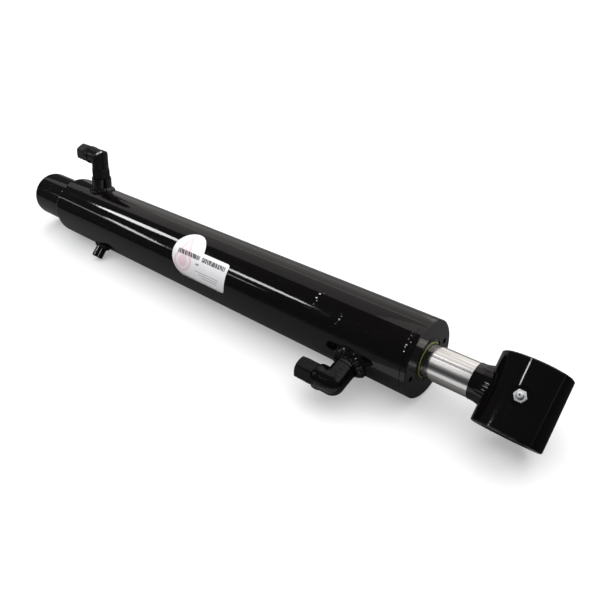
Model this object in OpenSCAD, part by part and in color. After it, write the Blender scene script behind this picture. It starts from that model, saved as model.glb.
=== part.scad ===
// Double-acting welded hydraulic cylinder, lying on its side.
// The row frame has its origin at the middle of the base stub's end face.
// +X runs along the cylinder towards the rod eye, and +Z is up as it lies.
// Angles around the cylinder are in degrees: 0 is +Z and 90 is -Y.

/* [Barrel] */
// Outside diameter of the barrel tube
barrel_od = 88.9; // [84:0.1:100]
// Bore diameter of the barrel tube
bore_d = 76.2; // [76:0.1:76.4]
// Length from the barrel's back face to the front face of the gland
barrel_length = 660.4; // [640:0.1:760]
// Thickness of the cap that closes the base end
cap_thickness = 18; // [15:0.5:22]
// Stroke of the rod
stroke = 457.2; // [300:0.1:457.2]

/* [Base stub] */
// Outside diameter of the round stub on the base end
stub_od = 69.9; // [64:0.1:70]
// Length of the stub
stub_length = 85; // [70:1:100]
// Diameter of the tapped hole in the stub, to the crests of its thread
stub_hole_d = 36.1; // [30:0.1:40]
// Depth of the tapped hole
stub_hole_depth = 60; // [40:1:65]

/* [Rod] */
// Diameter of the chromed rod
rod_d = 38.1; // [38:0.1:38.2]
// Distance from the gland's front face to the centre of the rod eye
eye_reach = 101.6; // [95:0.1:130]
// Outside diameter of the rod eye tube
eye_od = 69.85; // [64:0.05:72]
// Length of the rod eye tube
eye_length = 74.2; // [64:0.1:80]
// Pin hole diameter in the bushing
pin_hole_d = 38.2; // [30:0.1:40]
// Angle of the pin hole around the cylinder
eye_angle = -53; // [-90:1:90]

/* [Ports] */
// Distance from the barrel's back face to the base port
base_port_x = 69; // [66:1:72]
// Angle of the base port around the barrel
base_port_angle = -14; // [-40:1:20]
// Distance from the gland's front face to the rod port
rod_port_inset = 70; // [68:1:72]
// Angle of the rod port around the barrel
rod_port_angle = 101; // [90:1:115]
// Distance from the elbow's upright leg to the end of its cap
elbow_reach = 44.5; // [42:0.5:50]
// Width across the flats of the cap nuts
cap_nut_af = 23.8; // [22:0.1:25]

/* [Stud and label] */
// Distance from the barrel's back face to the stud
stud_x = 100; // [90:1:130]
// Angle of the stud around the barrel
stud_angle = 128; // [120:1:140]
// Distance from the cylinder's axis to the stud's tip
stud_tip = 64; // [58:0.5:66]
// Diameter of the stud
stud_d = 16; // [12:0.5:18]
// Distance from the barrel's back face to the middle of the label's round head
label_x = 320; // [250:5:400]
// Angle of the label's middle line around the barrel
label_angle = 44; // [30:1:70]

/* [Hidden] */
$fn = 96;
small_fn = 48;
eps = 0.01;

barrel_r = barrel_od / 2;
bore_r = bore_d / 2;
rod_r = rod_d / 2;
back_x = stub_length;
front_x = back_x + barrel_length;
eye_x = front_x + eye_reach;

// running clearance of the rod in its seals and of the piston rings in the bore
run_gap = 0.05;

// gap between the metal parts, which the wear bands and seals keep apart
metal_gap = 0.4;

// gland: a collar flush with the tube, a body in the bore and a slim nose
collar_length = 6.8;
tube_end_x = front_x - collar_length;
gland_body_length = 46;
gland_body_x = tube_end_x - gland_body_length;
nose_r = 30;
nose_length = 32;
nose_x = gland_body_x - nose_length;
rod_hole_r = rod_r + metal_gap;
spanner_hole_r = 3.2;
spanner_hole_depth = 8;
spanner_hole_pcd_r = 33.3;
spanner_hole_angle = -87;

// grooves in the gland, each as a distance back from its front face
wiper_depth = 5.5;
wiper_seat_r = 24.5;
rod_seal_back = 24;
rod_seal_width = 9;
rod_seal_r = 25;
rod_band_back = 50;
rod_band_width = 14;
rod_band_r = 21.5;
head_ring_back = 26;
head_ring_width = 3.6;
backup_width = 1.6;
head_groove_r = 35.3;

// piston, held on the rod's spigot by a nut
piston_length = 40;
piston_front_x = nose_x - stroke;
piston_back_x = piston_front_x - piston_length;
piston_r = bore_r - metal_gap;
spigot_r = 14.3;
nut_length = 22;
nut_af = 41.3;
spigot_end_x = piston_back_x - nut_length - 4;
groove_gap = 0.1;
piston_groove_r = 33;
seal_width = 8;
band_width = 6.4;
seal_offset = (piston_length - seal_width) / 2;
band_offsets = [4, piston_length - 4 - band_width];
inner_ring_width = 3.6;
inner_ring_r = spigot_r + 2.6;

// rod eye
eye_r = eye_od / 2;
bushing_wall = 4.7;
bushing_r = pin_hole_d / 2 + bushing_wall;
bushing_length = eye_length - 2;
rod_weld_length = 12.6;
rod_weld_flare = 3.4;
spot_face_r = 10.2;
spot_face_floor = eye_r - 1.7;
zerk_tilt = 8;
zerk_hole_r = 4;
zerk_hex_af = 11.1;
zerk_hex_height = 5;

// ports
hole_r = 8;
passage_r = 6;
boss_r = 14.5;
boss_top = 62.5;
locknut_af = 25.4;
locknut_top = 76.5;
base_elbow_r = 12.2;
base_elbow_axis = 93.3;
base_groove_at = 23;
rod_boss_r = 14;
rod_boss_top = 53;
rod_elbow_r = 13.3;
rod_elbow_axis = 74.9;
rod_groove_at = 19;
arm_thread_r = 9.5;
port_tail = 8;
collar_step = 1.1;
collar_width = 6;
cap_bore_length = 14;
cap_seat_gap = 1.6;
port_ring_width = 2.6;

base_port_at = back_x + base_port_x;
rod_port_at = front_x - rod_port_inset;
stud_at = back_x + stud_x;

// label outline
label_head_r = 28.2;
label_tail_length = 76;
label_tail_low = -label_head_r;
label_tail_high = 7.8;
label_corner_r = 3;
label_thickness = 0.25;

// Stands a child that was drawn along +Z on the cylinder's axis, starting at x.
module along_x(x) {
    translate([x, 0, 0]) rotate([0, 90, 0]) children();
}

// Turns a child so that its +Z points outwards from the axis at an angle, at x.
module outward(x, angle) {
    translate([x, 0, 0]) rotate([angle, 0, 0]) children();
}

// A turned ring on the cylinder's axis, from its inside and outside radii.
module turned_ring(x, length, inside_r, outside_r) {
    along_x(x) rotate_extrude()
        translate([inside_r, 0]) square([outside_r - inside_r, length]);
}

// A solid round of the barrel's own outside, longer than the barrel.
module barrel_round() {
    along_x(back_x - eps) cylinder(h = barrel_length + 2 * eps, r = barrel_r);
}

// A hexagonal prism with its corners turned off at both ends.
module hex_block(across_flats, height) {
    corner_r = across_flats / (2 * cos(30));
    bevel = (corner_r - across_flats / 2) * 1.2;
    intersection() {
        cylinder(h = height, r = corner_r, $fn = 6);
        rotate_extrude() polygon([
            [0, 0], [corner_r - bevel, 0], [corner_r, bevel / 2],
            [corner_r, height - bevel / 2], [corner_r - bevel, height], [0, height]
        ]);
    }
}

// A weld fillet around a round post that stands on the barrel at an angle.
module post_weld(x, angle, post_r, leg) {
    foot = sqrt(barrel_r * barrel_r - (post_r + leg) * (post_r + leg)) - 1;
    difference() {
        outward(x, angle) rotate_extrude($fn = small_fn) polygon([
            [post_r, foot], [post_r + leg, foot], [post_r + leg, barrel_r - 1.2],
            [post_r + leg * 0.55, barrel_r + leg * 0.3], [post_r, barrel_r + leg]
        ]);
        barrel_round();
    }
}

// A boss for a port: a round post shaped to the barrel, with a hole through it.
module port_boss(x, angle, outside_r, top) {
    difference() {
        outward(x, angle) cylinder(h = top, r = outside_r, $fn = small_fn);
        barrel_round();
        outward(x, angle) cylinder(h = top + eps, r = hole_r, $fn = small_fn);
    }
}

module barrel_tube() {
    edge = 1.2;
    color([0.05, 0.05, 0.05]) difference() {
        along_x(back_x) rotate_extrude() polygon([
            [bore_r, 0], [barrel_r - 2, 0], [barrel_r, 2],
            [barrel_r, tube_end_x - back_x - edge / 2],
            [barrel_r - edge / 2, tube_end_x - back_x], [bore_r, tube_end_x - back_x]
        ]);
        outward(base_port_at, base_port_angle) cylinder(h = boss_top, r = hole_r, $fn = small_fn);
        outward(rod_port_at, rod_port_angle) cylinder(h = boss_top, r = hole_r, $fn = small_fn);
    }
}

module base_cap() {
    color([0.07, 0.07, 0.07]) along_x(back_x) rotate_extrude() polygon([
        [0, 0], [bore_r, 0], [bore_r, cap_thickness - 2],
        [bore_r - 2, cap_thickness], [0, cap_thickness]
    ]);
}

module base_stub() {
    edge = 2.5;
    r = stub_od / 2;
    thread_r = stub_hole_d / 2;
    color([0.06, 0.06, 0.06]) along_x(0) rotate_extrude() polygon([
        [thread_r, 0], [r - edge, 0], [r, edge], [r, stub_length], [0, stub_length],
        [0, stub_hole_depth + thread_r / 3], [thread_r, stub_hole_depth]
    ]);
}

module base_stub_weld() {
    r = stub_od / 2;
    stub_leg = 9.5;
    face_leg = 7;
    color([0.06, 0.06, 0.06]) along_x(back_x) rotate_extrude() polygon([
        [r, 0], [r, -stub_leg], [r + face_leg * 0.4, -stub_leg * 0.8],
        [r + face_leg * 0.8, -stub_leg * 0.45], [r + face_leg, 0]
    ]);
}

module line_stud() {
    r = stud_d / 2;
    edge = 1;
    color([0.06, 0.06, 0.06]) difference() {
        outward(stud_at, stud_angle) rotate_extrude($fn = small_fn) polygon([
            [0, barrel_r - 3], [r, barrel_r - 3], [r, stud_tip - edge],
            [r - edge, stud_tip], [0, stud_tip]
        ]);
        barrel_round();
    }
}

module line_stud_weld() {
    color([0.06, 0.06, 0.06]) post_weld(stud_at, stud_angle, stud_d / 2, 5);
}

// The label's outline, drawn flat: a round head and a tail along +X.
module label_outline() {
    tail_mid = (label_tail_low + label_tail_high) / 2;
    tail_height = label_tail_high - label_tail_low;
    circle(r = label_head_r);
    translate([0, tail_mid - tail_height / 2])
        square([label_tail_length - label_corner_r, tail_height]);
    translate([0, label_tail_low + label_corner_r])
        square([label_tail_length, tail_height - 2 * label_corner_r]);
    for (y = [label_tail_low + label_corner_r, label_tail_high - label_corner_r])
        translate([label_tail_length - label_corner_r, y])
            circle(r = label_corner_r, $fn = small_fn);
}

module label() {
    color("white") intersection() {
        turned_ring(back_x, barrel_length, barrel_r, barrel_r + label_thickness);
        outward(back_x + label_x, label_angle) translate([0, 0, barrel_r / 2])
            linear_extrude(barrel_r) label_outline();
    }
}

module base_port_boss() {
    color([0.06, 0.06, 0.06]) port_boss(base_port_at, base_port_angle, boss_r, boss_top);
}

module base_port_weld() {
    color([0.06, 0.06, 0.06]) post_weld(base_port_at, base_port_angle, boss_r, 5);
}

module base_port_locknut() {
    height = locknut_top - boss_top;
    color([0.06, 0.06, 0.06]) outward(base_port_at, base_port_angle)
        translate([0, 0, boss_top]) difference() {
            rotate([0, 0, 30]) hex_block(locknut_af, height);
            translate([0, 0, -eps]) cylinder(h = height + 2 * eps, r = hole_r, $fn = small_fn);
        }
}

module base_port_o_ring() {
    color([0.1, 0.1, 0.1]) outward(base_port_at, base_port_angle)
        translate([0, 0, boss_top - 3]) rotate_extrude($fn = small_fn)
            translate([passage_r, 0]) square([hole_r - passage_r, port_ring_width]);
}

// A forged elbow: a leg along +Z, an arm along -X, and one passage through both.
module elbow(leg_start, tail_start, axis_z, body_r, shoulder, corner_r) {
    difference() {
        union() {
            translate([0, 0, leg_start])
                cylinder(h = axis_z - leg_start, r = body_r, $fn = small_fn);
            translate([-shoulder, 0, axis_z]) rotate([0, 90, 0])
                cylinder(h = shoulder, r = body_r, $fn = small_fn);
            intersection() {
                cylinder(h = axis_z + body_r, r = body_r, $fn = small_fn);
                translate([-body_r, 0, axis_z]) rotate([0, 90, 0])
                    cylinder(h = 2 * body_r, r = body_r, $fn = small_fn);
                translate([0, 0, axis_z]) sphere(r = corner_r, $fn = small_fn);
            }
            translate([0, 0, tail_start])
                cylinder(h = leg_start - tail_start + eps, r = hole_r - run_gap, $fn = small_fn);
            translate([-shoulder - cap_bore_length, 0, axis_z]) rotate([0, 90, 0])
                cylinder(h = cap_bore_length + eps, r = arm_thread_r, $fn = small_fn);
            translate([-shoulder, 0, axis_z]) rotate([0, 90, 0])
                cylinder(h = collar_width, r = body_r + collar_step, $fn = small_fn);
        }
        translate([0, 0, tail_start - eps])
            cylinder(h = axis_z - tail_start, r = passage_r, $fn = small_fn);
        translate([-elbow_reach, 0, axis_z]) rotate([0, 90, 0])
            cylinder(h = elbow_reach + passage_r, r = passage_r, $fn = small_fn);
    }
}

// A hexagonal cap nut that closes an elbow's arm.
module cap_nut(axis_z, shoulder) {
    length = elbow_reach - shoulder - cap_seat_gap;
    translate([-elbow_reach, 0, axis_z]) rotate([0, 90, 0]) difference() {
        hex_block(cap_nut_af, length);
        translate([0, 0, length - cap_bore_length + cap_seat_gap])
            cylinder(h = cap_bore_length, r = arm_thread_r, $fn = small_fn);
    }
}

module base_port_elbow() {
    color([0.08, 0.08, 0.08]) outward(base_port_at, base_port_angle)
        elbow(locknut_top, boss_top, base_elbow_axis, base_elbow_r, base_groove_at, base_elbow_r * 1.3);
}

module base_port_cap() {
    color([0.08, 0.08, 0.08]) outward(base_port_at, base_port_angle)
        cap_nut(base_elbow_axis, base_groove_at);
}

module rod_port_boss() {
    color([0.06, 0.06, 0.06]) port_boss(rod_port_at, rod_port_angle, rod_boss_r, rod_boss_top);
}

module rod_port_weld() {
    color([0.06, 0.06, 0.06]) post_weld(rod_port_at, rod_port_angle, rod_boss_r, 7);
}

module rod_port_elbow() {
    color([0.08, 0.08, 0.08]) outward(rod_port_at, rod_port_angle)
        elbow(rod_boss_top, rod_boss_top - port_tail, rod_elbow_axis, rod_elbow_r, rod_groove_at,
            rod_elbow_r);
}

module rod_port_cap() {
    color([0.08, 0.08, 0.08]) outward(rod_port_at, rod_port_angle)
        cap_nut(rod_elbow_axis, rod_groove_at);
}

module gland() {
    edge = 0.8;
    color([0.06, 0.06, 0.06]) difference() {
        along_x(nose_x) rotate_extrude() polygon([
            [rod_hole_r, 0], [nose_r, 0], [nose_r, nose_length], [bore_r, nose_length],
            [bore_r, tube_end_x - nose_x], [barrel_r - edge / 2, tube_end_x - nose_x],
            [barrel_r, tube_end_x - nose_x + edge / 2],
            [barrel_r, front_x - nose_x - edge], [barrel_r - edge, front_x - nose_x],
            [rod_hole_r, front_x - nose_x]
        ]);
        turned_ring(front_x - wiper_depth, wiper_depth + eps, rod_hole_r - eps, wiper_seat_r);
        turned_ring(front_x - rod_seal_back, rod_seal_width, rod_hole_r - eps, rod_seal_r);
        turned_ring(front_x - rod_band_back, rod_band_width, rod_hole_r - eps, rod_band_r);
        turned_ring(front_x - head_ring_back, head_ring_width + backup_width, head_groove_r, bore_r + eps);
        for (turn = [0, 180])
            outward(front_x - spanner_hole_depth, spanner_hole_angle + turn)
                translate([0, 0, spanner_hole_pcd_r]) rotate([0, 90, 0])
                    cylinder(h = spanner_hole_depth + eps, r = spanner_hole_r, $fn = small_fn);
    }
}

module gland_o_ring() {
    color([0.1, 0.1, 0.1])
        turned_ring(front_x - head_ring_back, head_ring_width, head_groove_r, bore_r);
}

module gland_backup_ring() {
    color([0.85, 0.85, 0.8])
        turned_ring(front_x - head_ring_back + head_ring_width, backup_width, head_groove_r, bore_r);
}

module rod_wear_band() {
    color([0.2, 0.35, 0.3])
        turned_ring(front_x - rod_band_back, rod_band_width, rod_r + run_gap, rod_band_r);
}

module rod_seal() {
    color([0.75, 0.15, 0.1])
        turned_ring(front_x - rod_seal_back, rod_seal_width, rod_r + run_gap, rod_seal_r);
}

module wiper_seal() {
    lip = 1;
    color([0.6, 0.65, 0.15]) along_x(front_x - wiper_depth) rotate_extrude() polygon([
        [rod_r + run_gap + 1.2, 0], [wiper_seat_r, 0], [wiper_seat_r, wiper_depth],
        [rod_r + 2, wiper_depth], [rod_r + 1.3, wiper_depth + lip],
        [rod_r + run_gap, wiper_depth + lip], [rod_r + run_gap, wiper_depth - 2]
    ]);
}

module piston_seal() {
    color([0.15, 0.15, 0.15]) turned_ring(piston_back_x + seal_offset, seal_width,
        piston_groove_r + run_gap, bore_r - run_gap);
}

module piston_wear_bands() {
    color([0.2, 0.35, 0.3]) for (offset = band_offsets)
        turned_ring(piston_back_x + offset, band_width, piston_groove_r + run_gap, bore_r - run_gap);
}

// The rod eye's frame: +Z along the pin hole, +X away from the barrel.
module eye_frame() {
    outward(eye_x, eye_angle) children();
}

// Turns a child so that its +Z points out of the eye tube through the grease fitting.
module zerk_frame() {
    eye_frame() rotate([0, 0, zerk_tilt]) rotate([90, 0, 0]) children();
}

module rod() {
    edge = 1.5;
    color("silver") difference() {
        along_x(spigot_end_x) rotate_extrude() polygon([
            [0, 0], [spigot_r - edge, 0], [spigot_r, edge],
            [spigot_r, piston_front_x - spigot_end_x], [rod_r - edge, piston_front_x - spigot_end_x],
            [rod_r, piston_front_x - spigot_end_x + edge], [rod_r, eye_x - spigot_end_x],
            [0, eye_x - spigot_end_x]
        ]);
        eye_frame() cylinder(h = eye_length, r = eye_r, center = true);
    }
}

module piston() {
    color([0.6, 0.6, 0.62]) difference() {
        turned_ring(piston_back_x, piston_length, spigot_r, piston_r);
        turned_ring(piston_back_x + seal_offset - groove_gap, seal_width + 2 * groove_gap,
            piston_groove_r, piston_r + eps);
        for (offset = band_offsets)
            turned_ring(piston_back_x + offset - groove_gap, band_width + 2 * groove_gap,
                piston_groove_r, piston_r + eps);
        turned_ring(piston_back_x + piston_length / 2, inner_ring_width, spigot_r - eps, inner_ring_r);
    }
}

module piston_o_ring() {
    color([0.1, 0.1, 0.1])
        turned_ring(piston_back_x + piston_length / 2, inner_ring_width, spigot_r, inner_ring_r);
}

module piston_nut() {
    color([0.6, 0.6, 0.62]) difference() {
        along_x(piston_back_x - nut_length) hex_block(nut_af, nut_length);
        along_x(piston_back_x - nut_length - eps) cylinder(h = nut_length + 2 * eps, r = spigot_r);
    }
}

module rod_eye_tube() {
    edge = 1.2;
    color([0.05, 0.05, 0.05]) difference() {
        eye_frame() rotate_extrude() polygon([
            [bushing_r, -eye_length / 2], [eye_r - edge, -eye_length / 2],
            [eye_r, -eye_length / 2 + edge], [eye_r, eye_length / 2 - edge],
            [eye_r - edge, eye_length / 2], [bushing_r, eye_length / 2]
        ]);
        zerk_frame() translate([0, 0, spot_face_floor])
            cylinder(h = eye_r, r = spot_face_r, $fn = small_fn);
        zerk_frame() cylinder(h = eye_r, r = zerk_hole_r, $fn = small_fn);
    }
}

module rod_eye_weld() {
    start_x = eye_x - eye_r - rod_weld_length;
    color([0.05, 0.05, 0.05]) difference() {
        along_x(start_x) rotate_extrude() polygon([
            [rod_r, 0], [rod_r + 0.6, 0], [rod_r + 1.2, rod_weld_length / 2],
            [rod_r + rod_weld_flare, rod_weld_length + 1], [rod_r + rod_weld_flare + 2, rod_weld_length + 8],
            [rod_r, rod_weld_length + 8]
        ]);
        eye_frame() cylinder(h = eye_length, r = eye_r, center = true);
    }
}

module rod_eye_bushing() {
    edge = 0.8;
    hole_r = pin_hole_d / 2;
    color([0.55, 0.55, 0.55]) difference() {
        eye_frame() rotate_extrude() polygon([
            [hole_r, -bushing_length / 2 + edge], [hole_r + edge, -bushing_length / 2],
            [bushing_r, -bushing_length / 2], [bushing_r, bushing_length / 2],
            [hole_r + edge, bushing_length / 2], [hole_r, bushing_length / 2 - edge]
        ]);
        zerk_frame() cylinder(h = eye_r, r = 2, $fn = small_fn);
    }
}

module grease_fitting() {
    thread_length = 6;
    neck_r = 2.3;
    ball_r = 3.25;
    channel_r = 0.8;
    color("silver") zerk_frame() translate([0, 0, spot_face_floor]) difference() {
        union() {
            translate([0, 0, -thread_length])
                cylinder(h = thread_length + eps, r = zerk_hole_r, $fn = small_fn);
            hex_block(zerk_hex_af, zerk_hex_height);
            translate([0, 0, zerk_hex_height - eps]) rotate_extrude($fn = small_fn) polygon([
                [0, 0], [4.2, 0], [neck_r + 1, 1.2], [neck_r, 2.6], [neck_r, 4.2],
                [ball_r, 5.4], [ball_r, 6.4], [ball_r - 1, 7.8], [1.4, 8.4], [0, 8.4]
            ]);
        }
        translate([0, 0, -thread_length - eps])
            cylinder(h = thread_length + zerk_hex_height + 9, r = channel_r, $fn = 24);
    }
}

barrel_tube();
base_cap();
base_stub();
base_stub_weld();
line_stud();
line_stud_weld();
label();
base_port_boss();
base_port_weld();
base_port_locknut();
base_port_o_ring();
base_port_elbow();
base_port_cap();
rod_port_boss();
rod_port_weld();
rod_port_elbow();
rod_port_cap();
gland();
gland_o_ring();
gland_backup_ring();
rod_wear_band();
rod_seal();
wiper_seal();
piston_seal();
piston_wear_bands();
rod();
piston();
piston_o_ring();
piston_nut();
rod_eye_tube();
rod_eye_weld();
rod_eye_bushing();
grease_fitting();
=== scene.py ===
"""Looks of the hydraulic cylinder: camera, studio, materials and the detailed pieces.

Metres, in the row frame: +X runs along the cylinder towards the rod eye and +Z is up.
Angles around the cylinder are in degrees: 0 is +Z and 90 is -Y.
"""

import math
import random

import bpy
from mathutils import Matrix, Quaternion, Vector, noise


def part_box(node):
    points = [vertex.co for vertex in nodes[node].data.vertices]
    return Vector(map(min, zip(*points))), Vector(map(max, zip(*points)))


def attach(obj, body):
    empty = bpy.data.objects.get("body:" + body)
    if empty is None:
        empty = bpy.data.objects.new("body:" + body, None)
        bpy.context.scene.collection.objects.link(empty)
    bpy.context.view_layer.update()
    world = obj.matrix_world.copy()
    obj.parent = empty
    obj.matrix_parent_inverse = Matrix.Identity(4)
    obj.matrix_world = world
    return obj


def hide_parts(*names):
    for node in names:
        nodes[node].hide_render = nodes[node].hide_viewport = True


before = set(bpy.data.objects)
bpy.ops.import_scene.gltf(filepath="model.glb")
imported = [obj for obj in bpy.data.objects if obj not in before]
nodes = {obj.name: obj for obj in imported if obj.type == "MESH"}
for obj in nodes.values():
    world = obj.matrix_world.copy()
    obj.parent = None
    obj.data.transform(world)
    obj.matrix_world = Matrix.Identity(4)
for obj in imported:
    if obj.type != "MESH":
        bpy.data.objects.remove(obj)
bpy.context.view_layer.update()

MM = 0.001
TAU = 2 * math.pi

# places and sizes that the frame gives
barrel_low, barrel_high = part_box("barrel_tube")
eye_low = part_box("rod_eye_tube")[0]
BARREL_R = barrel_high.z
BACK_X = barrel_low.x
FRONT_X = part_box("gland")[1].x
STUB_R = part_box("base_stub")[1].z
ROD_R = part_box("rod")[1].z

# the rod eye's middle, its tube's radius and the angle its axis points at, as in the CAD
EYE = Vector((0.847, 0, 0))
EYE_R = 34.925 * MM
EYE_ANGLE = -53

# places and sizes on the barrel, as in the CAD
BASE_PORT_X = BACK_X + 69 * MM
BASE_PORT_ANGLE = -14
ROD_PORT_X = FRONT_X - 70 * MM
ROD_PORT_ANGLE = 101
STUD_X = BACK_X + 100 * MM
STUD_ANGLE = 128
BASE_BOSS_R = 14.5 * MM
ROD_BOSS_R = 14 * MM
STUD_R = 8 * MM
ELBOW_REACH = 44.5 * MM
CAP_NUT_AF = 23.8 * MM
CAP_SEAT_GAP = 1.6 * MM
BASE_ELBOW_AXIS = 93.3 * MM
ROD_ELBOW_AXIS = 74.9 * MM
BASE_ELBOW_SHOULDER = 23 * MM
ROD_ELBOW_SHOULDER = 19 * MM
LOCKNUT_AF = 25.4 * MM
LOCKNUT_LOW = 62.5 * MM
LOCKNUT_HIGH = 76.5 * MM
LABEL_X = BACK_X + 320 * MM
LABEL_ANGLE = 44
LABEL_HEAD_R = 28.2 * MM
LABEL_TAIL = 76 * MM
LABEL_TAIL_TOP = 7.8 * MM
LABEL_THICKNESS = 0.25 * MM

# camera
CAMERA_AIM = Vector((0.56675, 0.00211, 0.00192))
CAMERA_AZIMUTH = 45.305
CAMERA_ELEVATION = 36.905
CAMERA_ROLL = -7.403
CAMERA_DISTANCE = 0.7301
CAMERA_LENS = 36.211

# lamps over the rod: the angle at which the chrome shows each, its width and its radiance
ROD_LAMPS = ((8, 0.12, 0.5), (20, 0.27, 1.3), (25.5, 0.38, 0.5), (33, 0.33, 1.25),
             (38.5, 0.33, 1.0), (43.5, 0.33, 0.8), (48.5, 0.3, 0.3), (53, 0.3, 0.1))

# how far from the eye tube and the line stud their own lamps stand
NEAR_LAMP_DISTANCE = 1.5


# ---------------------------------------------------------------- places

def outward(angle):
    """The direction away from the cylinder's axis at an angle around it."""
    turn = math.radians(angle)
    return Vector((0, -math.sin(turn), math.cos(turn)))


def axes_at(origin, x_axis, z_axis):
    """A matrix with its origin there, its +Z along z_axis and its +X close to x_axis."""
    z = z_axis.normalized()
    y = z.cross(x_axis).normalized()
    x = y.cross(z)
    place = Matrix((x, y, z)).transposed().to_4x4()
    place.translation = origin
    return place


def port_place(x, angle):
    """A port's place: on the cylinder's axis, +Z outwards and +X along the cylinder."""
    return axes_at(Vector((x, 0, 0)), Vector((1, 0, 0)), outward(angle))


def arm_place(x, angle, height, end):
    """The place of an elbow's arm: +Z along the arm towards the barrel, from a distance out."""
    port = port_place(x, angle)
    return axes_at(port @ Vector((-end, 0, height)), port.col[2].to_3d(), Vector((1, 0, 0)))


def zerk_place():
    """The grease fitting's place: its hexagon's seat in the eye tube, +Z outwards."""
    tilt, spot_floor = 8, EYE_R - 1.7 * MM
    eye_place = axes_at(EYE, Vector((1, 0, 0)), outward(EYE_ANGLE))
    return (eye_place @ Matrix.Rotation(math.radians(tilt), 4, "Z")
            @ Matrix.Rotation(math.radians(90), 4, "X") @ Matrix.Translation((0, 0, spot_floor)))


def along_axis(x):
    """A place on the cylinder's axis at x, +Z along +X."""
    return axes_at(Vector((x, 0, 0)), Vector((0, 0, 1)), Vector((1, 0, 0)))


# ---------------------------------------------------------------- camera and studio

def make_camera():
    azimuth, elevation = math.radians(CAMERA_AZIMUTH), math.radians(CAMERA_ELEVATION)
    back = Vector((
        math.sin(azimuth) * math.cos(elevation),
        -math.cos(azimuth) * math.cos(elevation),
        math.sin(elevation),
    ))
    data = bpy.data.cameras.new("camera")
    data.lens = CAMERA_LENS
    data.sensor_width = 36
    data.clip_start = 0.01
    camera = bpy.data.objects.new("camera", data)
    camera.location = CAMERA_AIM + back * CAMERA_DISTANCE
    camera.rotation_mode = "QUATERNION"
    roll = Quaternion((0, 0, 1), math.radians(CAMERA_ROLL))
    camera.rotation_quaternion = (-back).to_track_quat("-Z", "Y") @ roll
    bpy.context.scene.collection.objects.link(camera)
    bpy.context.scene.camera = camera
    return camera.location.copy()


def floor_height(x):
    """Height of the floor, which the barrel's base end and the rod eye's rim rest on."""
    slope = (eye_low.z - barrel_low.z) / (EYE.x - barrel_low.x)
    return barrel_low.z + (x - barrel_low.x) * slope


def add_sheet(name, corners, material):
    """A flat sheet of the stage through (x, y, height over the floor) corners."""
    mesh = bpy.data.meshes.new(name)
    vertices = [(x, y, floor_height(x) + height) for x, y, height in corners]
    mesh.from_pydata(vertices, [], [(0, 1, 2, 3)])
    mesh.materials.append(material)
    sheet = bpy.data.objects.new(name, mesh)
    bpy.context.scene.collection.objects.link(sheet)
    return sheet


def make_floor():
    half, clear = 5, -0.15 * MM
    corners = [(x, y, clear) for x, y in ((-half, -half), (half, -half), (half, half), (-half, half))]
    add_sheet("floor", corners, floor_material("white_sweep", 0.15))


def reflected_card(name, corners, material):
    """A card that only the reflections show."""
    card = add_sheet(name, corners, material)
    card.visible_camera = card.visible_diffuse = card.visible_shadow = False


def make_cards():
    """Pale and dark cards by the rod and the eye, and the sweep's raised front edge."""
    lie = 0.5 * MM
    for name, left, right, near, far, reflected in (("pale_card", 0.635, 0.83, -0.75, -0.1, 0.42),
                                                    ("dark_card", 0.885, 1.7, -0.2, 1.5, 0.02)):
        corners = [(left, near, lie), (right, near, lie), (right, far, lie), (left, far, lie)]
        reflected_card(name, corners, floor_material(name, reflected))
    half, front, outer, lip = 5, -3, -3.3, 0.37
    corners = [(-half, front, 0), (-half, outer, lip), (half, outer, lip), (half, front, 0)]
    reflected_card("front_edge", corners, floor_material("front_edge", 0.15))


def make_light(name, place, length, width, radiance, colour=(1, 1, 1), glossy=True, oval=False):
    """A flat light that shines along its place's -Z, as bright as radiance all over."""
    data = bpy.data.lights.new(name, "AREA")
    data.shape = "ELLIPSE" if oval else "RECTANGLE"
    data.size = length
    data.size_y = width
    area = length * width * (math.pi / 4 if oval else 1)
    data.energy = radiance * math.pi * area
    data.color = colour
    light = bpy.data.objects.new(name, data)
    light.matrix_world = place
    light.visible_camera = False
    light.visible_glossy = glossy
    bpy.context.scene.collection.objects.link(light)


def mirror_point(eye, point, normal, distance):
    """Where a lamp has to be for its reflection to show at a point of a shiny surface."""
    return point + (point - eye).normalized().reflect(normal) * distance


def barrel_mirror(eye, x, angle, height, radius=BARREL_R):
    """Where, at a height, a lamp has to be for its reflection to show on the cylinder there."""
    normal = outward(angle)
    point = Vector((x, 0, 0)) + normal * radius
    step = mirror_point(eye, point, normal, 1) - point
    return point + step * ((height - point.z) / step.z)


def tube_lamp(name, first, last, target, width, radiance, oval=True):
    """A lamp that runs from first to last and faces a target."""
    middle = (first + last) / 2
    place = axes_at(middle, last - first, middle - target)
    make_light(name, place, (last - first).length, width, radiance, oval=oval)


def lamp_over(name, eye, start, end, width, radiance, radius=BARREL_R, oval=True, height=1.6):
    """A lamp overhead whose reflection runs along the cylinder between two (x, angle) places."""
    first = barrel_mirror(eye, *start, height, radius)
    last = barrel_mirror(eye, *end, height, radius)
    target = Vector(((start[0] + end[0]) / 2, 0, 0))
    tube_lamp(name, first, last, target, width, radiance, oval)


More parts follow.
